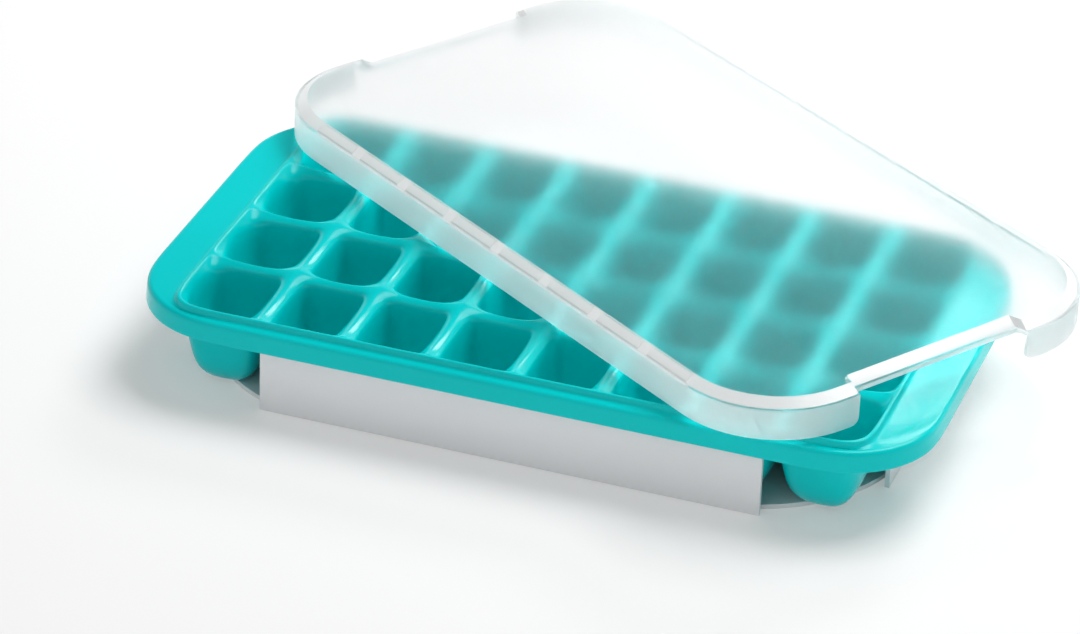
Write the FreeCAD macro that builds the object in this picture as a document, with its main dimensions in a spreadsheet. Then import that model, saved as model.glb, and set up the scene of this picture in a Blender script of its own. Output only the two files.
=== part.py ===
import FreeCAD, Part
import math
import os
import Sketcher

# Ice cube tray: a flexible tray of cups, a frosted lid and a white stand.
# Frame: +Z up, X along the tray, origin at the centre of the stand's underside.

doc = FreeCAD.newDocument("ice_cube_tray")

# Sizes in millimetres, angles in degrees
VALUES = {
    # Grid of cells
    "cell_columns": 8,
    "cell_rows": 4,
    "pitch_long": 33.0,
    "pitch_cross": 39.25,
    "rib_width": 3.6,
    "cell_corner": 7.5,
    # Cups under the cells
    "cup_wall": 1.6,
    "cup_height": 35.2,
    "cup_shoulder_drop": 12.5,
    "cup_shoulder_inset": 1.9,
    "cup_turn_drop": 5.0,
    "cup_turn_inset": 4.6,
    "cup_foot_inset": 9.2,
    "cup_foot_corner": 4.5,
    # Raised field round the cells
    "field_margin": 1.6,
    "field_corner": 15.0,
    "field_step": 2.6,
    "web_thickness": 1.8,
    "field_round": 0.9,
    # Rim with a grip at each short end
    "rim_length": 306.0,
    "rim_width": 171.0,
    "rim_corner": 38.0,
    "rim_thickness": 2.0,
    "rim_skirt": 8.0,
    "rim_wall": 1.8,
    "rim_round": 1.4,
    # Stand
    "stand_floor": 1.8,
    "stand_wall": 1.8,
    "stand_corner": 50.0,
    "stand_cup_gap": 1.2,
    "stand_rim_gap": 0.5,
    "front_wall_length": 193.0,
    "end_wall_length": 90.0,
    # Lid
    "lid_gap": 0.7,
    "lid_wall": 1.8,
    "lid_skirt": 12.0,
    "lid_shoulder": 1.2,
    "lid_crown": 3.0,
    "lid_crown_inset": 5.0,
    "notch_width": 77.0,
    "notch_lip": 3.6,
    "snap_length": 26.0,
    "snap_pitch": 30.5,
    "snap_count": 8,
    "snap_proud": 0.6,
    "snap_height": 1.6,
    "snap_lift": 2.4,
    # Where the lid lies on the tray
    "lid_along": 19.3,
    "lid_across": 53.4,
    "lid_turn": -33.55,
}

sheet = doc.addObject("Spreadsheet::Sheet", "Sizes")
for row, (alias, value) in enumerate(VALUES.items(), start=1):
    sheet.set(f"A{row}", alias)
    sheet.set(f"B{row}", str(value))
    sheet.setAlias(f"B{row}", alias)
doc.recompute()


def sized(expression):
    """Put the sheet's name before every size named in an expression."""
    words = expression.split(" ")
    return " ".join("Sizes." + word if word in VALUES else word for word in words)


def number(expression):
    """What an expression of named sizes comes to, worked out in a spare cell of the sheet."""
    sheet.set("D1", "=" + expression)
    sheet.recompute()
    result = float(sheet.get("D1"))
    sheet.clear("D1")
    return result


def new_body(label):
    body = doc.addObject("PartDesign::Body", label)
    body.Label = label
    return body


def origin_feature(body, role):
    return next(item for item in body.Origin.OriginFeatures if item.Role == role)


def flat_sketch(body, name, height, along="0", across="0"):
    """A sketch parallel to the body's XY plane, moved to a place given by expressions."""
    sketch = body.newObject("Sketcher::SketchObject", name)
    sketch.AttachmentSupport = [(origin_feature(body, "XY_Plane"), "")]
    sketch.MapMode = "FlatFace"
    sketch.setExpression(".AttachmentOffset.Base.x", sized(along))
    sketch.setExpression(".AttachmentOffset.Base.y", sized(across))
    sketch.setExpression(".AttachmentOffset.Base.z", sized(height))
    return sketch


def rounded_outline(body, name, length, width, corner, height, along="0", across="0"):
    """A rectangle with round corners, centred on the sketch's own origin."""
    sketch = flat_sketch(body, name, height, along, across)
    half_x = number(length) / 2
    half_y = number(width) / 2
    radius = number(corner)
    inner_x = half_x - radius
    inner_y = half_y - radius
    z_axis = FreeCAD.Vector(0, 0, 1)
    quarter = math.radians(90)
    turns = [(inner_x, -inner_y, -1), (inner_x, inner_y, 0), (-inner_x, inner_y, 1), (-inner_x, -inner_y, 2)]
    sides = [
        ((-inner_x, -half_y), (inner_x, -half_y)),
        ((half_x, -inner_y), (half_x, inner_y)),
        ((inner_x, half_y), (-inner_x, half_y)),
        ((-half_x, inner_y), (-half_x, -inner_y)),
    ]
    for (start, end), (centre_x, centre_y, turn) in zip(sides, turns):
        sketch.addGeometry(Part.LineSegment(FreeCAD.Vector(*start, 0), FreeCAD.Vector(*end, 0)), False)
        circle = Part.Circle(FreeCAD.Vector(centre_x, centre_y, 0), z_axis, radius)
        sketch.addGeometry(Part.ArcOfCircle(circle, turn * quarter, (turn + 1) * quarter), False)
    for item in range(8):
        sketch.addConstraint(Sketcher.Constraint("Tangent", item, 2, (item + 1) % 8, 1))
    sketch.addConstraint(Sketcher.Constraint("Horizontal", 0))
    sketch.addConstraint(Sketcher.Constraint("Vertical", 2))
    for arc in (3, 5, 7):
        sketch.addConstraint(Sketcher.Constraint("Equal", 1, arc))
    sketch.addConstraint(Sketcher.Constraint("Symmetric", 1, 3, 5, 3, -1, 1))
    named = [
        ("length", Sketcher.Constraint("DistanceX", 6, 1, 2, 1, 2 * half_x), length),
        ("width", Sketcher.Constraint("DistanceY", 0, 1, 4, 1, 2 * half_y), width),
        ("corner", Sketcher.Constraint("Radius", 1, radius), corner),
    ]
    for label, constraint, expression in named:
        index = sketch.addConstraint(constraint)
        sketch.renameConstraint(index, label)
        sketch.setExpression(f"Constraints.{label}", sized(expression))
    return sketch


def square_outline(body, name, length, width, height, along="0", across="0"):
    """A rectangle with sharp corners, centred on the sketch's own origin."""
    sketch = flat_sketch(body, name, height, along, across)
    half_x = number(length) / 2
    half_y = number(width) / 2
    corners = [(-half_x, -half_y), (half_x, -half_y), (half_x, half_y), (-half_x, half_y)]
    for start, end in zip(corners, corners[1:] + corners[:1]):
        sketch.addGeometry(Part.LineSegment(FreeCAD.Vector(*start, 0), FreeCAD.Vector(*end, 0)), False)
    for side in range(4):
        sketch.addConstraint(Sketcher.Constraint("Coincident", side, 2, (side + 1) % 4, 1))
        sketch.addConstraint(Sketcher.Constraint("Vertical" if side % 2 else "Horizontal", side))
    sketch.addConstraint(Sketcher.Constraint("Symmetric", 0, 1, 2, 1, -1, 1))
    named = [
        ("length", Sketcher.Constraint("DistanceX", 0, 1, 0, 2, 2 * half_x), length),
        ("width", Sketcher.Constraint("DistanceY", 1, 1, 1, 2, 2 * half_y), width),
    ]
    for label, constraint, expression in named:
        index = sketch.addConstraint(constraint)
        sketch.renameConstraint(index, label)
        sketch.setExpression(f"Constraints.{label}", sized(expression))
    return sketch


def pad_up(body, name, sketch, length):
    pad = body.newObject("PartDesign::Pad", name)
    pad.Profile = sketch
    pad.setExpression("Length", sized(length))
    return pad


def pocket_up(body, name, sketch, length):
    pocket = body.newObject("PartDesign::Pocket", name)
    pocket.Profile = sketch
    pocket.Reversed = True
    pocket.setExpression("Length", sized(length))
    return pocket


def loft(body, kind, name, sections):
    feature = body.newObject(f"PartDesign::{kind}", name)
    feature.Profile = (sections[0], [""])
    feature.Sections = [(section, [""]) for section in sections[1:]]
    feature.Ruled = True
    return feature


def repeat(body, name, feature, along, across=None):
    """Repeat a feature in rows: along and across are (whole distance, count) pairs of expressions."""
    pattern = body.newObject("PartDesign::LinearPattern", name)
    pattern.Originals = [feature]
    pattern.Direction = (origin_feature(body, "X_Axis"), [""])
    pattern.setExpression("Length", sized(along[0]))
    pattern.setExpression("Occurrences", sized(along[1]))
    if across:
        pattern.Direction2 = (origin_feature(body, "Y_Axis"), [""])
        pattern.setExpression("Length2", sized(across[0]))
        pattern.setExpression("Occurrences2", sized(across[1]))
    body.Tip = pattern
    return pattern


def mirror(body, name, feature, plane):
    copy = body.newObject("PartDesign::Mirrored", name)
    copy.Originals = [feature]
    copy.MirrorPlane = (origin_feature(body, plane), [""])
    body.Tip = copy
    return copy


def round_edges(body, name, feature, radius, wanted):
    doc.recompute()
    edges = [f"Edge{i}" for i, edge in enumerate(feature.Shape.Edges, start=1) if wanted(edge.BoundBox)]
    fillet = body.newObject("PartDesign::Fillet", name)
    fillet.Base = (feature, edges)
    fillet.setExpression("Radius", sized(radius))
    return fillet


# Tray, in a frame whose floor is the underside of the cups
tray = new_body("tray")
tray.setExpression("Placement.Base.z", sized("stand_floor"))
FIELD_LENGTH = "cell_columns * pitch_long + 2 * field_margin"
FIELD_WIDTH = "cell_rows * pitch_cross + 2 * field_margin"
RIM_TOP = "cup_height - field_step"
SKIRT_FOOT = RIM_TOP + " - rim_skirt"
FIRST_COLUMN = "-0.5 * ( cell_columns - 1 ) * pitch_long"
FIRST_ROW = "-0.5 * ( cell_rows - 1 ) * pitch_cross"

rim_outline = rounded_outline(tray, "RimOutline", "rim_length", "rim_width", "rim_corner", SKIRT_FOOT)
rim_block = pad_up(tray, "RimBlock", rim_outline, "rim_skirt")
field_outline = rounded_outline(tray, "FieldOutline", FIELD_LENGTH, FIELD_WIDTH, "field_corner", SKIRT_FOOT)
field_block = pad_up(tray, "FieldBlock", field_outline, "rim_skirt + field_step")
rim_hollow_outline = rounded_outline(
    tray,
    "RimHollowOutline",
    "rim_length - 2 * rim_wall",
    "rim_width - 2 * rim_wall",
    "rim_corner - rim_wall",
    SKIRT_FOOT,
)
rim_hollow = pocket_up(tray, "RimHollow", rim_hollow_outline, "rim_skirt - rim_thickness")
field_hollow_outline = rounded_outline(
    tray,
    "FieldHollowOutline",
    FIELD_LENGTH + " - 2 * rim_wall",
    FIELD_WIDTH + " - 2 * rim_wall",
    "field_corner - rim_wall",
    SKIRT_FOOT,
)
field_hollow = pocket_up(
    tray, "FieldHollow", field_hollow_outline, "rim_skirt + field_step - web_thickness"
)

# Soft edges of the rim and of the raised field
rim_top = number(RIM_TOP)
cup_height = number("cup_height")
field_reach_x = number(FIELD_LENGTH) / 2 + 1
field_reach_y = number(FIELD_WIDTH) / 2 + 1


def on_rim_edge(box):
    level = abs(box.ZMin - rim_top) < 0.01 and abs(box.ZMax - rim_top) < 0.01
    far_along = max(abs(box.XMin), abs(box.XMax)) > field_reach_x
    far_across = max(abs(box.YMin), abs(box.YMax)) > field_reach_y
    return level and (far_along or far_across)


def on_field_edge(box):
    return abs(box.ZMin - cup_height) < 0.01 and abs(box.ZMax - cup_height) < 0.01


rim_rounded = round_edges(tray, "RimRound", field_hollow, "rim_round", on_rim_edge)
field_rounded = round_edges(tray, "FieldRound", rim_rounded, "field_round", on_field_edge)

# Cups: sections from the web down to a small flat foot, each (drop from the top, inset, corner)
CELL_LENGTH = "pitch_long - rib_width"
CELL_WIDTH = "pitch_cross - rib_width"
OUTER_SECTIONS = [
    ("cup_height - 0.5 * web_thickness", "0", "cell_corner + cup_wall"),
    ("cup_shoulder_drop", "cup_shoulder_inset", "cell_corner + cup_wall"),
    ("cup_turn_drop", "cup_turn_inset", "cell_corner"),
    ("0", "cup_foot_inset", "cup_foot_corner"),
]
INNER_SECTIONS = [
    ("cup_height + 0.5", "0", "cell_corner"),
    ("cup_shoulder_drop", "cup_shoulder_inset", "cell_corner"),
    ("cup_turn_drop + 0.6 * cup_wall", "cup_turn_inset", "cell_corner - 0.5 * cup_wall"),
    ("cup_wall", "cup_foot_inset - 0.4 * cup_wall", "cup_foot_corner"),
]
outer_sections = []
for place, (height, inset, corner) in enumerate(OUTER_SECTIONS, start=1):
    outer_sections.append(
        rounded_outline(
            tray,
            f"CupSection{place}",
            f"{CELL_LENGTH} + 2 * cup_wall - 2 * {inset}",
            f"{CELL_WIDTH} + 2 * cup_wall - 2 * {inset}",
            corner,
            height,
            FIRST_COLUMN,
            FIRST_ROW,
        )
    )
first_cup = loft(tray, "AdditiveLoft", "FirstCup", outer_sections)
GRID_ALONG = ("( cell_columns - 1 ) * pitch_long", "cell_columns")
GRID_ACROSS = ("( cell_rows - 1 ) * pitch_cross", "cell_rows")
repeat(tray, "Cups", first_cup, GRID_ALONG, GRID_ACROSS)

inner_sections = []
for place, (height, inset, corner) in enumerate(INNER_SECTIONS, start=1):
    inner_sections.append(
        rounded_outline(
            tray,
            f"CellSection{place}",
            f"{CELL_LENGTH} - 2 * ( {inset} )",
            f"{CELL_WIDTH} - 2 * ( {inset} )",
            corner,
            height,
            FIRST_COLUMN,
            FIRST_ROW,
        )
    )
first_cell = loft(tray, "SubtractiveLoft", "FirstCell", inner_sections)
repeat(tray, "Cells", first_cell, GRID_ALONG, GRID_ACROSS)

# Stand: a floor plate under the cups and an upright wall on each side, open at the corners
stand = new_body("stand")
CUP_REACH_LONG = "cell_columns * pitch_long - rib_width + 2 * cup_wall"
CUP_REACH_CROSS = "cell_rows * pitch_cross - rib_width + 2 * cup_wall"
STAND_LENGTH = CUP_REACH_LONG + " + 2 * stand_cup_gap + 2 * stand_wall"
STAND_WIDTH = CUP_REACH_CROSS + " + 2 * stand_cup_gap + 2 * stand_wall"
WALL_HEIGHT = "stand_floor + cup_height - field_step - rim_thickness - stand_rim_gap"

floor_outline = rounded_outline(stand, "FloorOutline", STAND_LENGTH, STAND_WIDTH, "stand_corner", "0")
pad_up(stand, "FloorPlate", floor_outline, "stand_floor")
front_outline = square_outline(
    stand,
    "FrontWallOutline",
    "front_wall_length",
    "stand_wall",
    "0",
    "0",
    f"-0.5 * ( {STAND_WIDTH} - stand_wall )",
)
front_wall = pad_up(stand, "FrontWall", front_outline, WALL_HEIGHT)
mirror(stand, "FrontAndBackWalls", front_wall, "XZ_Plane")
end_outline = square_outline(
    stand,
    "EndWallOutline",
    "stand_wall",
    "end_wall_length",
    "0",
    f"0.5 * ( {STAND_LENGTH} - stand_wall )",
)
end_wall = pad_up(stand, "EndWall", end_outline, WALL_HEIGHT)
mirror(stand, "EndWalls", end_wall, "YZ_Plane")

# Lid, in a frame whose floor is the foot of its skirt
lid = new_body("lid")
lid.setExpression("Placement.Rotation.Yaw", sized("lid_turn"))
lid.setExpression("Placement.Base.x", sized("lid_along"))
lid.setExpression("Placement.Base.y", sized("lid_across"))
lid.setExpression("Placement.Base.z", sized("stand_floor + cup_height"))
LID_LENGTH = "rim_length + 2 * lid_gap + 2 * lid_wall"
LID_WIDTH = "rim_width + 2 * lid_gap + 2 * lid_wall"
LID_CORNER = "rim_corner + lid_gap + lid_wall"
LID_TOP = "lid_skirt + lid_crown"


def lid_outline(name, inset, height):
    return rounded_outline(
        lid,
        name,
        f"{LID_LENGTH} - 2 * ( {inset} )",
        f"{LID_WIDTH} - 2 * ( {inset} )",
        f"{LID_CORNER} - ( {inset} )",
        height,
    )


skirt_block = pad_up(lid, "SkirtBlock", lid_outline("SkirtOutline", "0", "0"), "lid_skirt")
crown = loft(
    lid,
    "AdditiveLoft",
    "Crown",
    [
        lid_outline("CrownFoot", "lid_shoulder", "lid_skirt"),
        lid_outline("CrownTop", "lid_crown_inset", LID_TOP),
    ],
)
skirt_hollow = pocket_up(
    lid, "SkirtHollow", lid_outline("SkirtHollowOutline", "lid_wall", "0"), "lid_skirt - lid_wall"
)
crown_hollow = loft(
    lid,
    "SubtractiveLoft",
    "CrownHollow",
    [
        lid_outline("CrownHollowFoot", "lid_wall", "lid_skirt - lid_wall"),
        lid_outline("CrownHollowTop", "lid_crown_inset + 0.7 * lid_wall", LID_TOP + " - lid_wall"),
    ],
)

# Notches that clear the grips, each closed by a short lip under the crown
notch_outline = square_outline(
    lid,
    "NotchOutline",
    "2 * lid_crown_inset",
    "notch_width",
    "0",
    f"0.5 * ( {LID_LENGTH} )",
)
notch = pocket_up(lid, "Notch", notch_outline, LID_TOP)
mirror(lid, "Notches", notch, "YZ_Plane")
lip_outline = square_outline(
    lid,
    "LipOutline",
    "lid_wall",
    "notch_width",
    LID_TOP + " - notch_lip",
    f"0.5 * ( {LID_LENGTH} ) - lid_crown_inset - 0.5 * lid_wall",
)
lip = pad_up(lid, "Lip", lip_outline, "notch_lip")
mirror(lid, "Lips", lip, "YZ_Plane")

# Snap ribs inside the two long sides
snap_outline = square_outline(
    lid,
    "SnapOutline",
    "snap_length",
    "snap_proud + 0.5 * lid_wall",
    "snap_lift",
    "-0.5 * ( snap_count - 1 ) * snap_pitch",
    f"-0.5 * ( {LID_WIDTH} ) + 0.75 * lid_wall + 0.5 * snap_proud",
)
snap = pad_up(lid, "Snap", snap_outline, "snap_height")
SNAP_SPAN = f"{LID_WIDTH} - 1.5 * lid_wall - snap_proud"
repeat(lid, "Snaps", snap, ("( snap_count - 1 ) * snap_pitch", "snap_count"), (SNAP_SPAN, "2"))

doc.recompute()

# Every feature must be sound before anything is written
for item in doc.Objects:
    broken = [state for state in item.State if state in ("Invalid", "Error")]
    if broken:
        raise RuntimeError(f"{item.Label} is {broken}")

os.makedirs("parts", exist_ok=True)
for body in (tray, stand, lid):
    if body.Shape.isNull() or not body.Shape.isValid():
        raise RuntimeError(f"{body.Label} has no sound shape")
    if len(body.Shape.Solids) != 1:
        raise RuntimeError(f"{body.Label} is {len(body.Shape.Solids)} solids")
    body.Shape.exportStep(f"parts/{body.Label}.step")
    print(body.Label, round(body.Shape.Volume, 1), body.Shape.BoundBox)
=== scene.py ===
import math

import bmesh
import bpy
from mathutils import Matrix


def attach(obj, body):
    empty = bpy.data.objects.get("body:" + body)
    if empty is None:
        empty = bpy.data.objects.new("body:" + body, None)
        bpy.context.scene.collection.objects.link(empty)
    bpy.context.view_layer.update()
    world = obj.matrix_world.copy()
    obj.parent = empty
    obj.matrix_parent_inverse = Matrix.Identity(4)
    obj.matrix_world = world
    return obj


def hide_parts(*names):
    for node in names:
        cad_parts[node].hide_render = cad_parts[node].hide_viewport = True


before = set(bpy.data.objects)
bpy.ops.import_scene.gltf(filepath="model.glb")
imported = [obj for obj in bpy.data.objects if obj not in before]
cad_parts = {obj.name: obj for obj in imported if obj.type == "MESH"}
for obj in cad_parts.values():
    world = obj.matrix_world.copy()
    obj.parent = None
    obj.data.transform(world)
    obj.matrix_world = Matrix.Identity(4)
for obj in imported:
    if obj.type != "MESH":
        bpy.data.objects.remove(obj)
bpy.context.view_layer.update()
mm = 0.001

# ---------------------------------------------------------------------------------------------
# Tray: one flexible moulding in teal rubbery plastic, 8 by 4 deep cups hanging from soft ribs.
# A flat-topped bead runs round the cups, a lower rim widens into a grip at each short end, and
# a skirt hangs from the rim. It is moulded in one shot, and it stands loose on the stand.
# ---------------------------------------------------------------------------------------------
cup_pitch_long = 33.0 * mm
cup_pitch_cross = 39.25 * mm
field_long = 4 * cup_pitch_long
field_cross = 2 * cup_pitch_cross
rib_top = 37.0 * mm
rim_long, rim_cross, rim_corner = 305.4 * mm, 170.4 * mm, 38.0 * mm
# how far the straight part of a cup's side runs, against a third of it
long_side_straight, cross_side_straight = 1.62, 1.85


def pick_points(wanted):
    """Selects the points of the piece in hand whose place passes the test."""
    bpy.context.tool_settings.mesh_select_mode = (True, False, False)
    bpy.ops.mesh.select_all(action="DESELECT")
    mesh = bpy.context.edit_object.data
    shape = bmesh.from_edit_mesh(mesh)
    for point in shape.verts:
        point.select = bool(wanted(point.co))
    shape.select_flush_mode()
    bmesh.update_edit_mesh(mesh)


def pick_edges(wanted):
    """Selects the edges of the piece in hand that pass the test."""
    bpy.context.tool_settings.mesh_select_mode = (False, True, False)
    bpy.ops.mesh.select_all(action="DESELECT")
    mesh = bpy.context.edit_object.data
    shape = bmesh.from_edit_mesh(mesh)
    for edge in shape.edges:
        edge.select = bool(wanted(edge))
    shape.select_flush_mode()
    bmesh.update_edit_mesh(mesh)


def pick_faces(wanted):
    """Selects the faces of the piece in hand whose middle and normal pass the test."""
    bpy.context.tool_settings.mesh_select_mode = (False, False, True)
    bpy.ops.mesh.select_all(action="DESELECT")
    mesh = bpy.context.edit_object.data
    shape = bmesh.from_edit_mesh(mesh)
    for face in shape.faces:
        face.select = bool(wanted(face.calc_center_median(), face.normal))
    shape.select_flush_mode()
    bmesh.update_edit_mesh(mesh)


def is_open(edge):
    return len(edge.link_faces) < 2


def take_in_hand(piece):
    """Makes the piece the only one selected, ready to be shaped."""
    bpy.ops.object.select_all(action="DESELECT")
    piece.select_set(True)
    bpy.context.view_layer.objects.active = piece


def shift(x=0.0, y=0.0, z=0.0):
    """Moves what is selected by so many millimetres."""
    bpy.ops.transform.translate(value=(x * mm, y * mm, z * mm))


def cup_sheet(name, height, row_sharper, rings):
    """8 by 4 cups joined along the lines between them. Each ring of a cup is its distance in from
    that line, its depth under the sheet, and how far its corners are drawn in."""
    bpy.ops.object.select_all(action="DESELECT")
    bpy.ops.mesh.primitive_plane_add(size=1, location=(-3.5 * cup_pitch_long, -1.5 * cup_pitch_cross, height))
    sheet = bpy.context.object
    sheet.name = name
    middle = sheet.location.copy()
    bpy.ops.object.mode_set(mode="EDIT")
    bpy.ops.transform.resize(value=(cup_pitch_long, cup_pitch_cross, 1), center_override=middle)
    bpy.ops.mesh.subdivide(number_cuts=2)
    pick_points(lambda p: abs(p.x) < cup_pitch_long / 4)
    bpy.ops.transform.resize(value=(long_side_straight, 1, 1), center_override=middle)
    pick_points(lambda p: abs(p.y) < cup_pitch_cross / 4)
    bpy.ops.transform.resize(value=(1, cross_side_straight, 1), center_override=middle)
    bpy.ops.mesh.select_all(action="SELECT")
    half_long, half_cross, depth_now = cup_pitch_long / 2, cup_pitch_cross / 2, 0.0
    for inward, depth, drawn_in in rings:
        new_long = cup_pitch_long / 2 - inward * mm
        new_cross = cup_pitch_cross / 2 - (inward - row_sharper) * mm
        if depth_now == 0.0:
            bpy.ops.mesh.inset(thickness=inward * mm, depth=-depth * mm)
            bpy.ops.transform.resize(
                value=(1, new_cross / (half_cross - inward * mm), 1), center_override=middle)
        else:
            bpy.ops.mesh.extrude_region_move(
                TRANSFORM_OT_translate={"value": (0, 0, depth_now - depth * mm)})
            bpy.ops.transform.resize(
                value=(new_long / half_long, new_cross / half_cross, 1), center_override=middle)
        half_long, half_cross, depth_now = new_long, new_cross, depth * mm
        if drawn_in:
            pick_points(lambda p: abs(p.z + depth_now) < 1e-5
                        and abs(p.x) > 0.75 * half_long and abs(p.y) > 0.75 * half_cross)
            bpy.ops.transform.resize(
                value=(1 - drawn_in * mm / half_long, 1 - drawn_in * mm / half_cross, 1),
                center_override=middle)
        pick_faces(lambda middle_of_face, normal: abs(middle_of_face.z + depth_now) < 1e-5)
    bpy.ops.object.mode_set(mode="OBJECT")
    for count, step in ((8, (cup_pitch_long, 0, 0)), (4, (0, cup_pitch_cross, 0))):
        row = sheet.modifiers.new("row", "ARRAY")
        row.count = count
        row.use_relative_offset = False
        row.use_constant_offset = True
        row.constant_offset_displace = step
        row.use_merge_vertices = True
        row.merge_threshold = 0.01 * mm
        bpy.ops.object.modifier_apply(modifier=row.name)
    bpy.ops.object.transform_apply(location=True, rotation=True, scale=True)
    return sheet


def carry_on(half_long, half_cross, steps):
    """Draws the open edge of the piece in hand on, by so many millimetres outward and down a step."""
    for outward, down in steps:
        pick_edges(is_open)
        bpy.ops.mesh.extrude_region_move(TRANSFORM_OT_translate={"value": (0, 0, -down * mm)})
        bpy.ops.transform.resize(
            value=((half_long + outward * mm) / half_long, (half_cross + outward * mm) / half_cross, 1),
            center_override=(0, 0, 0))
        half_long += outward * mm
        half_cross += outward * mm


def reach_rim(sheet, inward, height):
    """Bridges the open edge of a sheet of cups to the rim's rounded outline, this far in from it."""
    bpy.ops.object.mode_set(mode="OBJECT")
    bpy.ops.object.select_all(action="DESELECT")
    bpy.ops.mesh.primitive_plane_add(size=1, location=(0, 0, 0))
    outline = bpy.context.object
    bpy.ops.object.mode_set(mode="EDIT")
    bpy.ops.transform.resize(
        value=(rim_long - 2 * inward * mm, rim_cross - 2 * inward * mm, 1), center_override=(0, 0, 0))
    bpy.ops.transform.translate(value=(0, 0, height))
    bpy.ops.mesh.bevel(affect="VERTICES", offset=rim_corner - inward * mm, segments=6)
    bpy.ops.mesh.select_all(action="SELECT")
    bpy.ops.mesh.delete(type="ONLY_FACE")
    for cuts, axis in ((17, 0), (5, 1)):
        pick_edges(lambda edge: abs(edge.verts[0].co[axis] - edge.verts[1].co[axis]) > 60 * mm)
        bpy.ops.mesh.subdivide(number_cuts=cuts)
    bpy.ops.object.mode_set(mode="OBJECT")
    take_in_hand(sheet)
    outline.select_set(True)
    bpy.ops.object.join()
    bpy.ops.object.mode_set(mode="EDIT")
    pick_edges(is_open)
    bpy.ops.mesh.bridge_edge_loops()


# the upper face, from the crests of the ribs down to the floors of the cups
row_sharper = 0.6
tray = cup_sheet("tray_moulding", rib_top, row_sharper, (
    (1.0, 0.12, 0.0), (2.9, 1.2, 1.1), (3.7, 5.0, 0.6),
    (4.4, 22.0, 0.2), (6.9, 29.6, 0.6), (10.8, 33.6, 0.8)))
bpy.ops.object.mode_set(mode="EDIT")

# the outer cups reach out to the bead: so many millimetres for their walls, for the edge of the
# crest and for the crest, along the tray and across it
walls_out_long, walls_out_cross = 3.0, 2.1
edge_out_long, edge_out_cross = 1.7, 1.4
crest_out_long, crest_out_cross = 1.2, 0.9
for side in (-1, 1):
    pick_points(lambda p: field_long - 5 * mm < side * p.x < field_long - 1.5 * mm)
    shift(x=side * walls_out_long)
    pick_points(lambda p: field_cross - 5 * mm < side * p.y < field_cross - 1.5 * mm)
    shift(y=side * walls_out_cross)
    for half, axis, edge_out, crest_out in (
            (field_long, 0, edge_out_long, crest_out_long),
            (field_cross, 1, edge_out_cross, crest_out_cross)):
        pick_points(lambda p: -1.5 * mm < side * p[axis] - half < -0.2 * mm and p.z > rib_top - 0.5 * mm)
        shift(x=side * edge_out * (1 - axis), y=side * edge_out * axis)
        pick_points(lambda p: side * p[axis] - half > -0.2 * mm and p.z > rib_top - 0.05 * mm)
        shift(x=side * crest_out * (1 - axis), y=side * crest_out * axis)

# the bead's inner edge is steeper than the sides of the ribs
bead_edge_drop, bead_side_drop = 0.6, 1.0
pick_points(lambda p: rib_top - 0.5 * mm < p.z < rib_top - 0.05 * mm
            and (abs(p.x) > field_long - 0.6 * mm or abs(p.y) > field_cross - 0.2 * mm))
shift(z=-bead_edge_drop)
pick_points(lambda p: rib_top - 1.5 * mm < p.z < rib_top - 1.0 * mm
            and (abs(p.x) > field_long - 1.5 * mm or abs(p.y) > field_cross - 1.5 * mm))
shift(z=-bead_side_drop)


def beside_rib(p, nearest, furthest, low):
    """True for a point this far from the crest of a rib, and well between two crossings."""
    if p.z < rib_top - low * mm:
        return False
    along = (p.x / cup_pitch_long) % 1.0
    across = (p.y / cup_pitch_cross) % 1.0
    from_column = min(along, 1 - along) * cup_pitch_long / mm
    from_row = min(across, 1 - across) * cup_pitch_cross / mm
    column = nearest <= from_column < furthest and from_row > 5 and abs(p.x) < field_long - 5 * mm
    row = nearest <= from_row < furthest and from_column > 5 and abs(p.y) < field_cross - 5 * mm
    return column or row


# the crests dip between two crossings, so that water runs from cup to cup
crest_dip = 2.3
pick_points(lambda p: beside_rib(p, 0, 3.6, 2))
shift(z=-crest_dip)

# the corners of the field are rounded, and the corner cups with them, less so further down
for side_x in (-1, 1):
    for side_y in (-1, 1):
        for shallow, deep, pull in ((-0.2, 1.0, 3.4), (1.0, 6.0, 2.6), (6.0, 25.0, 1.6)):
            pick_points(lambda p: side_x * p.x > field_long - 6 * mm and side_y * p.y > field_cross - 6 * mm
                        and shallow * mm <= rib_top - p.z < deep * mm)
            shift(x=-side_x * pull, y=-side_y * pull)

# the bead's flat top, its step down to the rim, the rim, its rounded edge and the skirt
carry_on(field_long + crest_out_long * mm, field_cross + crest_out_cross * mm,
         ((1.0, 0.0), (0.35, 0.45), (0.15, 1.4), (0.7, 0.55)))
rim_flat_end = 2.2
reach_rim(tray, rim_flat_end, rib_top - 2.6 * mm)
carry_on(rim_long / 2 - rim_flat_end * mm, rim_cross / 2 - rim_flat_end * mm,
         ((1.3, 0.0), (0.9, 1.2), (0.0, 2.2), (0.3, 4.2), (0.0, 0.4)))
bpy.ops.mesh.select_all(action="SELECT")
bpy.ops.mesh.normals_make_consistent(inside=False)
bpy.ops.object.mode_set(mode="OBJECT")

# the underside: the outsides of the cups, the sheet between them and the inside of the skirt
under = cup_sheet("tray_underside", rib_top - 4.5 * mm, 0.0, (
    (0.4, 0.5, 0.0), (0.7, 4.5, 0.8), (1.9, 18.0, 1.0), (4.4, 26.2, 0.6), (9.0, 30.7, 0.8)))
bpy.ops.object.mode_set(mode="EDIT")
corner_pull = 1.6
for side_x in (-1, 1):
    for side_y in (-1, 1):
        pick_points(lambda p: side_x * p.x > field_long - 6 * mm and side_y * p.y > field_cross - 6 * mm
                    and p.z < rib_top - 4.6 * mm)
        shift(x=-side_x * corner_pull, y=-side_y * corner_pull)
under_flat_end = 3.6
reach_rim(under, under_flat_end, rib_top - 4.4 * mm)
carry_on(rim_long / 2 - under_flat_end * mm, rim_cross / 2 - under_flat_end * mm,
         ((1.8, 0.6), (0.0, 2.6), (0.3, 3.0), (0.0, 0.4)))
bpy.ops.mesh.select_all(action="SELECT")
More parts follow.
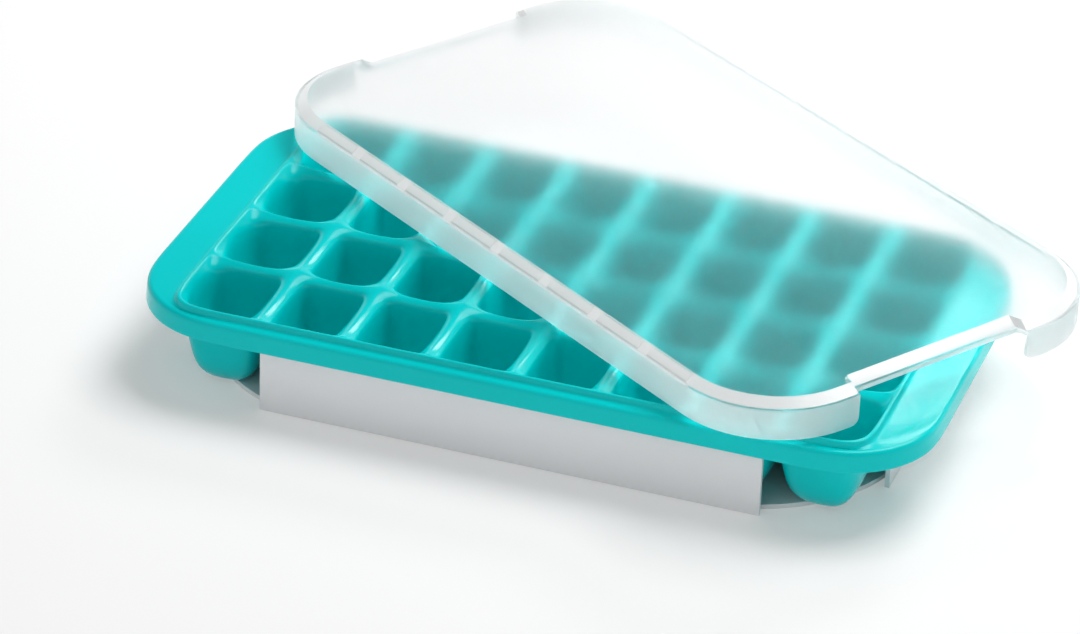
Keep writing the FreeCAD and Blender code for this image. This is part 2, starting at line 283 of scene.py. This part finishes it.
bpy.ops.mesh.normals_make_consistent(inside=False)
bpy.ops.object.mode_set(mode="OBJECT")

# the two faces are smoothed and closed along the foot of the skirt
take_in_hand(tray)
under.select_set(True)
bpy.ops.object.join()
bpy.ops.object.mode_set(mode="EDIT")
pick_edges(is_open)
bpy.ops.mesh.bridge_edge_loops()
bpy.ops.mesh.select_all(action="SELECT")
bpy.ops.mesh.normals_make_consistent(inside=False)
bpy.ops.object.mode_set(mode="OBJECT")
soft = tray.modifiers.new("soft", "SUBSURF")
soft.levels = soft.render_levels = 2
bpy.ops.object.modifier_apply(modifier=soft.name)
bpy.ops.object.shade_smooth()

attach(tray, "root")
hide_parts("tray")

teal = bpy.data.materials.new("soft_teal_rubber")
teal.use_nodes = True
nodes, links = teal.node_tree.nodes, teal.node_tree.links
rubber = nodes["Principled BSDF"]
rubber.inputs["Specular IOR Level"].default_value = 0.17
rubber.inputs["IOR"].default_value = 1.45
place = nodes.new("ShaderNodeTexCoord")
clouds = nodes.new("ShaderNodeTexNoise")
clouds.inputs["Scale"].default_value = 9.0
clouds.inputs["Detail"].default_value = 3.0
links.new(place.outputs["Object"], clouds.inputs["Vector"])
tint = nodes.new("ShaderNodeValToRGB")
tint.color_ramp.elements[0].position = 0.3
tint.color_ramp.elements[0].color = (0.0, 0.6, 0.61, 1)
tint.color_ramp.elements[1].position = 0.7
tint.color_ramp.elements[1].color = (0.0, 0.67, 0.675, 1)
links.new(clouds.outputs["Fac"], tint.inputs["Fac"])
links.new(tint.outputs["Color"], rubber.inputs["Base Color"])
grain = nodes.new("ShaderNodeTexNoise")
grain.inputs["Scale"].default_value = 900.0
grain.inputs["Detail"].default_value = 2.0
links.new(place.outputs["Object"], grain.inputs["Vector"])
matt = nodes.new("ShaderNodeMapRange")
matt.inputs["To Min"].default_value = 0.13
matt.inputs["To Max"].default_value = 0.2
links.new(grain.outputs["Fac"], matt.inputs["Value"])
links.new(matt.outputs["Result"], rubber.inputs["Roughness"])
skin = nodes.new("ShaderNodeBump")
skin.inputs["Strength"].default_value = 0.04
skin.inputs["Distance"].default_value = 0.0002
links.new(grain.outputs["Fac"], skin.inputs["Height"])
links.new(skin.outputs["Normal"], rubber.inputs["Normal"])
tray.data.materials.clear()
tray.data.materials.append(teal)

# ---------------------------------------------------------------------------------------------
# Stand: one white plastic moulding that carries the tray level. A thin floor plate with round
# corners runs under the cups, and a thin upright wall stands on each of its four sides, short of
# the corners, so that the corner cups show.
# ---------------------------------------------------------------------------------------------
stand_long, stand_cross, stand_corner = 269.6 * mm, 162.6 * mm, 63.0 * mm
stand_floor, stand_wall, stand_height = 1.8 * mm, 1.8 * mm, 31.9 * mm
front_wall_long, end_wall_long = 193.0 * mm, 90.0 * mm
eased_edge = 0.35 * mm

bpy.ops.object.select_all(action="DESELECT")
bpy.ops.mesh.primitive_plane_add(size=1, location=(0, 0, 0))
stand = bpy.context.object
stand.name = "stand_moulding"
bpy.ops.object.mode_set(mode="EDIT")
bpy.ops.transform.resize(value=(stand_long, stand_cross, 1), center_override=(0, 0, 0))
bpy.ops.mesh.bevel(affect="VERTICES", offset=stand_corner, segments=16)
bpy.ops.mesh.select_all(action="SELECT")
bpy.ops.mesh.extrude_region_move(TRANSFORM_OT_translate={"value": (0, 0, stand_floor)})
bpy.ops.mesh.select_all(action="SELECT")
bpy.ops.mesh.normals_make_consistent(inside=False)
bpy.ops.object.mode_set(mode="OBJECT")

# an upright wall is drawn up from its strip of floor, and welded to the plate
for middle_x, middle_y, long, wide in (
        (0, (stand_cross - stand_wall) / 2, front_wall_long, stand_wall),
        (0, -(stand_cross - stand_wall) / 2, front_wall_long, stand_wall),
        ((stand_long - stand_wall) / 2, 0, stand_wall, end_wall_long),
        (-(stand_long - stand_wall) / 2, 0, stand_wall, end_wall_long)):
    bpy.ops.object.select_all(action="DESELECT")
    bpy.ops.mesh.primitive_plane_add(size=1, location=(middle_x, middle_y, 0))
    upright = bpy.context.object
    bpy.ops.object.mode_set(mode="EDIT")
    bpy.ops.transform.resize(value=(long, wide, 1), center_override=(middle_x, middle_y, 0))
    bpy.ops.mesh.extrude_region_move(TRANSFORM_OT_translate={"value": (0, 0, stand_height)})
    bpy.ops.mesh.select_all(action="SELECT")
    bpy.ops.mesh.normals_make_consistent(inside=False)
    bpy.ops.object.mode_set(mode="OBJECT")
    take_in_hand(stand)
    weld = stand.modifiers.new("weld", "BOOLEAN")
    weld.operation = "UNION"
    weld.object = upright
    bpy.ops.object.modifier_apply(modifier=weld.name)
    bpy.data.objects.remove(upright)
bpy.ops.object.shade_smooth_by_angle(angle=math.radians(35))
# this bevel is held back by the shortest edges that the weld leaves, so the edges stay sharp
eased = stand.modifiers.new("eased", "BEVEL")
eased.width = eased_edge
eased.segments = 2
eased.limit_method = "ANGLE"
eased.angle_limit = math.radians(50)
eased.harden_normals = True
bpy.ops.object.modifier_apply(modifier=eased.name)
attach(stand, "root")
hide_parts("stand")

white = bpy.data.materials.new("satin_white_plastic")
white.use_nodes = True
nodes, links = white.node_tree.nodes, white.node_tree.links
plastic = nodes["Principled BSDF"]
plastic.inputs["Specular IOR Level"].default_value = 0.45
place = nodes.new("ShaderNodeTexCoord")
clouds = nodes.new("ShaderNodeTexNoise")
clouds.inputs["Scale"].default_value = 14.0
links.new(place.outputs["Object"], clouds.inputs["Vector"])
tint = nodes.new("ShaderNodeValToRGB")
tint.color_ramp.elements[0].color = (0.86, 0.88, 0.9, 1)
tint.color_ramp.elements[1].color = (0.9, 0.91, 0.925, 1)
links.new(clouds.outputs["Fac"], tint.inputs["Fac"])
links.new(tint.outputs["Color"], plastic.inputs["Base Color"])
grain = nodes.new("ShaderNodeTexNoise")
grain.inputs["Scale"].default_value = 1400.0
links.new(place.outputs["Object"], grain.inputs["Vector"])
matt = nodes.new("ShaderNodeMapRange")
matt.inputs["To Min"].default_value = 0.3
matt.inputs["To Max"].default_value = 0.42
links.new(grain.outputs["Fac"], matt.inputs["Value"])
links.new(matt.outputs["Result"], plastic.inputs["Roughness"])
stand.data.materials.clear()
stand.data.materials.append(white)

# ---------------------------------------------------------------------------------------------
# Lid: one frosted, translucent moulding that lies askew across the tray. A sloping band leads up
# to its flat panel, a thin skirt hangs round it, each short end has a notch that clears a grip,
# and a row of short snap ribs runs inside each long side.
# ---------------------------------------------------------------------------------------------
lid_long, lid_cross, lid_corner = 311.0 * mm, 176.0 * mm, 40.5 * mm
lid_foot, lid_wall, lid_skirt, lid_crown = 37.0 * mm, 1.8 * mm, 12.0 * mm, 3.0 * mm
lid_shoulder, lid_slope, panel_edge = 1.2 * mm, 3.8 * mm, 0.9 * mm
notch_half, notch_ramp, notch_deep, notch_lip = 38.5 * mm, 1.6 * mm, 4.6 * mm, 1.6 * mm
skirt_end_round = 3.2 * mm
lid_place, lid_turn = (19.3 * mm, 53.4 * mm, 0), math.radians(-33.55)

# the outline at the top of the skirt, stepped in at the two notches
bpy.ops.object.select_all(action="DESELECT")
bpy.ops.mesh.primitive_plane_add(size=1, location=(0, 0, 0))
lid = bpy.context.object
lid.name = "lid_moulding"
bpy.ops.object.mode_set(mode="EDIT")
bpy.ops.transform.resize(value=(lid_long, lid_cross, 1), center_override=(0, 0, 0))
bpy.ops.transform.translate(value=(0, 0, lid_foot + lid_skirt))
bpy.ops.mesh.bevel(affect="VERTICES", offset=lid_corner, segments=20)
for line in (notch_half, notch_half + notch_ramp):
    for side in (-1, 1):
        bpy.ops.mesh.select_all(action="SELECT")
        bpy.ops.mesh.bisect(plane_co=(0, side * line, 0), plane_no=(0, 1, 0))

# the shoulder, the sloping band and the flat panel
bpy.ops.mesh.select_all(action="SELECT")
bpy.ops.mesh.inset(thickness=lid_shoulder)
bpy.ops.mesh.inset(thickness=lid_slope, depth=lid_crown)
bpy.ops.mesh.inset(thickness=panel_edge)
bpy.ops.mesh.select_all(action="SELECT")
bpy.ops.mesh.normals_make_consistent(inside=False)

# at the notches the outline and the band come in together
band_reach = lid_shoulder + lid_slope + panel_edge + 1.1 * mm
for side in (-1, 1):
    pick_points(lambda p: side * p.x > lid_long / 2 - band_reach and abs(p.y) < notch_half + 0.1 * mm)
    bpy.ops.transform.translate(value=(-side * notch_deep, 0, 0))


def in_notch(point):
    """True for a point of a short end that lies within its notch, across the lid."""
    return abs(point.co.y) < notch_half + notch_ramp + 0.1 * mm


def is_notch_edge(edge):
    """True for an open edge along the bottom of a notch or up one of its two ends."""
    ends = edge.verts
    bottom = all(abs(point.co.x) < lid_long / 2 - 0.5 * mm and in_notch(point) for point in ends)
    ramp = abs(ends[0].co.x - ends[1].co.x) > 1 * mm and in_notch(ends[0]) and in_notch(ends[1])
    return bottom or ramp


# the skirt hangs from the outline, but not from the notches, which have a short lip
pick_edges(lambda edge: is_open(edge) and not is_notch_edge(edge))
bpy.ops.mesh.extrude_region_move(TRANSFORM_OT_translate={"value": (0, 0, -lid_skirt)})
pick_points(lambda p: p.z < lid_foot + 0.1 * mm and abs(p.x) > lid_long / 2 - 0.5 * mm
            and abs(abs(p.y) - notch_half - notch_ramp) < 0.1 * mm)
bpy.ops.mesh.bevel(affect="VERTICES", offset=skirt_end_round, segments=5)
pick_edges(lambda edge: is_open(edge) and all(in_notch(point) for point in edge.verts)
           and min(point.co.z for point in edge.verts) > lid_foot + lid_skirt - 0.1 * mm)
bpy.ops.mesh.extrude_region_move(TRANSFORM_OT_translate={"value": (0, 0, -notch_lip)})

# a row of low pads along the band of each long side
pad_long, pad_pitch, pad_count = 25.5 * mm, 29.6 * mm, 8
pad_margin, pad_side, pad_high = 0.5 * mm, 0.25 * mm, 0.3 * mm
first_pad = (pad_count - 1) / 2


def on_long_band(middle, normal):
    """True for a face of the sloping band along a straight long side."""
    return (0.1 < normal.z < 0.99 and abs(middle.y) > lid_cross / 2 - 6 * mm
            and abs(middle.x) < lid_long / 2 - lid_corner)


for side in (-1, 1):
    for pad in range(pad_count):
        for end in (-1, 1):
            pick_faces(lambda middle, normal: on_long_band(middle, normal) and side * middle.y > 0)
            cut = (pad - first_pad) * pad_pitch + end * pad_long / 2
            bpy.ops.mesh.bisect(plane_co=(cut, 0, 0), plane_no=(1, 0, 0))
pick_faces(lambda middle, normal: on_long_band(middle, normal)
           and abs(middle.x / pad_pitch + first_pad - round(middle.x / pad_pitch + first_pad)) < 0.3)
bpy.ops.mesh.inset(thickness=pad_margin, use_individual=True)
bpy.ops.mesh.inset(thickness=pad_side, depth=pad_high, use_individual=True)
bpy.ops.object.mode_set(mode="OBJECT")

shell = lid.modifiers.new("shell", "SOLIDIFY")
shell.thickness = lid_wall
shell.offset = -1
shell.use_even_offset = True
bpy.ops.object.modifier_apply(modifier=shell.name)

# the panel keeps the first material, and the rest of the lid has its own; the band and the rounded edges are
# made milkier white, which is partly painted light
skirt_slot, band_slot, edge_slot = 1, 2, 3
for _ in range(edge_slot + 1):
    lid.data.materials.append(None)
for face in lid.data.polygons:
    if face.center.z < lid_foot + lid_skirt - 0.3 * mm and abs(face.normal.z) < 0.9:
        face.material_index = skirt_slot
    elif abs(face.normal.z) < 0.97:
        face.material_index = band_slot
# this bevel too is held back by the shortest edges of the mesh, to about 0.01 mm
eased = lid.modifiers.new("eased", "BEVEL")
eased.width = eased_edge
eased.segments = 2
eased.limit_method = "ANGLE"
eased.angle_limit = math.radians(25)
# the rounded edges take the milky white edge material, a painted highlight along them
eased.material = edge_slot
bpy.ops.object.modifier_apply(modifier=eased.name)
lid.rotation_euler = (0, 0, lid_turn)
lid.location = lid_place
bpy.ops.object.transform_apply(location=True, rotation=True, scale=True)
bpy.ops.object.shade_smooth_by_angle(angle=math.radians(35))
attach(lid, "root")
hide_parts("lid")


def frosted_plastic(name, milk_share, roughest, light_through):
    """Natural plastic with a frosted face: so much of it milky, so rough at most, and with so
    much of the milky share lit from behind."""
    frost = bpy.data.materials.new(name)
    frost.use_nodes = True
    nodes, links = frost.node_tree.nodes, frost.node_tree.links
    clear = nodes["Principled BSDF"]
    clear.inputs["Transmission Weight"].default_value = 1.0
    clear.inputs["IOR"].default_value = 1.09
    place = nodes.new("ShaderNodeTexCoord")
    clouds = nodes.new("ShaderNodeTexNoise")
    clouds.inputs["Scale"].default_value = 10.0
    clouds.inputs["Detail"].default_value = 2.0
    links.new(place.outputs["Object"], clouds.inputs["Vector"])
    tint = nodes.new("ShaderNodeValToRGB")
    tint.color_ramp.elements[0].position = 0.3
    tint.color_ramp.elements[0].color = (0.85, 0.858, 0.862, 1)
    tint.color_ramp.elements[1].position = 0.7
    tint.color_ramp.elements[1].color = (0.88, 0.888, 0.892, 1)
    links.new(clouds.outputs["Fac"], tint.inputs["Fac"])
    links.new(tint.outputs["Color"], clear.inputs["Base Color"])
    matt = nodes.new("ShaderNodeMapRange")
    matt.inputs["To Min"].default_value = roughest - 0.03
    matt.inputs["To Max"].default_value = roughest
    links.new(clouds.outputs["Fac"], matt.inputs["Value"])
    links.new(matt.outputs["Result"], clear.inputs["Roughness"])
    face_white = nodes.new("ShaderNodeBsdfPrincipled")
    face_white.inputs["Base Color"].default_value = (0.97, 0.97, 0.97, 1)
    face_white.inputs["Roughness"].default_value = 0.22
    face_white.inputs["Specular IOR Level"].default_value = 0.6
    through_white = nodes.new("ShaderNodeBsdfTranslucent")
    through_white.inputs["Color"].default_value = (0.95, 0.97, 0.97, 1)
    milk = nodes.new("ShaderNodeMixShader")
    milk.inputs["Fac"].default_value = light_through
    links.new(face_white.outputs["BSDF"], milk.inputs[1])
    links.new(through_white.outputs["BSDF"], milk.inputs[2])
    wall = nodes.new("ShaderNodeMixShader")
    wall.inputs["Fac"].default_value = milk_share
    links.new(clear.outputs["BSDF"], wall.inputs[1])
    links.new(milk.outputs["Shader"], wall.inputs[2])
    # light from a lamp passes the thin wall as it passes the real one, less so where it is milky
    ray = nodes.new("ShaderNodeLightPath")
    lamp_light = nodes.new("ShaderNodeMath")
    lamp_light.operation = "MULTIPLY"
    lamp_light.inputs[1].default_value = 0.6 - 0.45 * milk_share
    links.new(ray.outputs["Is Shadow Ray"], lamp_light.inputs[0])
    open_air = nodes.new("ShaderNodeBsdfTransparent")
    passing = nodes.new("ShaderNodeMixShader")
    links.new(lamp_light.outputs["Value"], passing.inputs["Fac"])
    links.new(wall.outputs["Shader"], passing.inputs[1])
    links.new(open_air.outputs["BSDF"], passing.inputs[2])
    links.new(passing.outputs["Shader"], nodes["Material Output"].inputs["Surface"])
    return frost


# the four parts are one frosted plastic: the band is made near fully milky, partly painted light where the
# sloped band catches the lamps, and the rounded edges milky white, a painted highlight along each edge
for slot_number, (name, milk_share, roughest, light_through) in enumerate((
        ("frosted_panel", 0.008, 0.5, 0.3), ("frosted_skirt", 0.48, 0.4, 0.6),
        ("frosted_band_part_painted_light", 0.95, 0.5, 0.08), ("frosted_edge_painted_highlight", 0.95, 0.4, 0.08))):
    lid.data.materials[slot_number] = frosted_plastic(name, milk_share, roughest, light_through)

# ---------------------------------------------------------------------------------------------
# The table top under the part: a seamless pale sheet, and the soft lights and camera over it.
# ---------------------------------------------------------------------------------------------
table_size, under_part, paper_lift = 14, 0.2 * mm, 0.3
bpy.ops.object.select_all(action="DESELECT")
bpy.ops.mesh.primitive_plane_add(size=table_size, location=(0, 0, -under_part))
table = bpy.context.object
table.name = "table_top"
paper = bpy.data.materials.new("white_paper_sweep")
paper.use_nodes = True
nodes, links = paper.node_tree.nodes, paper.node_tree.links
matt_paper = nodes["Principled BSDF"]
matt_paper.inputs["Base Color"].default_value = (0.95, 0.95, 0.95, 1)
matt_paper.inputs["Roughness"].default_value = 0.9
matt_paper.inputs["Specular IOR Level"].default_value = 0.1
# where it is seen, straight, through the lid or mirrored, the paper is lifted towards plain white
ray = nodes.new("ShaderNodeLightPath")
seen = nodes.new("ShaderNodeMath")
seen.operation = "MAXIMUM"
links.new(ray.outputs["Is Camera Ray"], seen.inputs[0])
links.new(ray.outputs["Is Transmission Ray"], seen.inputs[1])
seen_too = nodes.new("ShaderNodeMath")
seen_too.operation = "MAXIMUM"
links.new(seen.outputs["Value"], seen_too.inputs[0])
links.new(ray.outputs["Is Glossy Ray"], seen_too.inputs[1])
lift = nodes.new("ShaderNodeMath")
lift.operation = "MULTIPLY"
lift.inputs[1].default_value = paper_lift
links.new(seen_too.outputs["Value"], lift.inputs[0])
plain_white = nodes.new("ShaderNodeEmission")
plain_white.inputs["Color"].default_value = (1, 1, 1, 1)
plain_white.inputs["Strength"].default_value = 1.0
sweep = nodes.new("ShaderNodeMixShader")
links.new(lift.outputs["Value"], sweep.inputs["Fac"])
links.new(matt_paper.outputs["BSDF"], sweep.inputs[1])
links.new(plain_white.outputs["Emission"], sweep.inputs[2])
# seen from below, the sheet is open, so that the underside of the part shows
underside = nodes.new("ShaderNodeNewGeometry")
open_below = nodes.new("ShaderNodeBsdfTransparent")
sheet = nodes.new("ShaderNodeMixShader")
links.new(underside.outputs["Backfacing"], sheet.inputs["Fac"])
links.new(sweep.outputs["Shader"], sheet.inputs[1])
links.new(open_below.outputs["BSDF"], sheet.inputs[2])
links.new(sheet.outputs["Shader"], nodes["Material Output"].inputs["Surface"])
table.data.materials.append(paper)

# a room that is white low down and greyer overhead
world = bpy.data.worlds.new("white_room")
bpy.context.scene.world = world
world.use_nodes = True
nodes, links = world.node_tree.nodes, world.node_tree.links
sky = nodes["Background"]
direction = nodes.new("ShaderNodeTexCoord")
height = nodes.new("ShaderNodeSeparateXYZ")
links.new(direction.outputs["Generated"], height.inputs["Vector"])
ramp = nodes.new("ShaderNodeValToRGB")
ramp.color_ramp.elements[0].position = 0.2
ramp.color_ramp.elements[0].color = (1, 1, 1, 1)
ramp.color_ramp.elements[1].position = 0.4
ramp.color_ramp.elements[1].color = (0.16, 0.16, 0.16, 1)
links.new(height.outputs["Z"], ramp.inputs["Fac"])
links.new(ramp.outputs["Color"], sky.inputs["Color"])
sky.inputs["Strength"].default_value = 1.0


def soft_lamp(name, place, aim, wide, high, power):
    """A big soft lamp that looks from one place to another."""
    bpy.ops.object.light_add(type="AREA", location=place)
    lamp = bpy.context.object
    lamp.name = name
    lamp.data.shape = "RECTANGLE"
    lamp.data.size = wide
    lamp.data.size_y = high
    lamp.data.energy = power
    along = [aim[k] - place[k] for k in range(3)]
    flat = math.hypot(along[0], along[1])
    lamp.rotation_euler = (math.atan2(flat, -along[2]), 0, math.atan2(-along[0], along[1]))


# the main light from over the back, the low one that draws the streaks on the ribs, and a weak
# one from the front
soft_lamp("key_lamp", place=(0.36, 0.6, 1.35), aim=(0, 0, 0.02), wide=1.0, high=0.85, power=19.6)
soft_lamp("streak_lamp", place=(0.1, 1.0, 0.64), aim=(0.05, 0, 0.03), wide=0.4, high=0.24, power=3.5)
soft_lamp("fill_lamp", place=(-0.4, -1.0, 1.3), aim=(0, 0, 0.02), wide=1.4, high=1.0, power=2.6)

# the camera as fitted to the photo, its focal length in the photo's pixels
azimuth, elevation, roll = math.radians(18.23), math.radians(29.928), math.radians(2.244)
aim, reach = (-0.003285, -0.037857, 0.037), 1.838
focal_length, photo_width, sensor_width = 5000, 1080, 36
back = (math.sin(azimuth) * math.cos(elevation),
        -math.cos(azimuth) * math.cos(elevation),
        math.sin(elevation))
bpy.ops.object.camera_add(location=[aim[k] + back[k] * reach for k in range(3)])
camera = bpy.context.object
camera.name = "photo_camera"
camera.data.sensor_width = sensor_width
camera.data.lens = focal_length / photo_width * sensor_width
camera.data.clip_end = 50
turn = (Matrix.Rotation(azimuth, 3, "Z")
        @ Matrix.Rotation(math.pi / 2 - elevation, 3, "X")
        @ Matrix.Rotation(roll, 3, "Z"))
camera.rotation_euler = turn.to_euler()
bpy.context.scene.camera = camera

bpy.context.scene.view_settings.view_transform = "Standard"
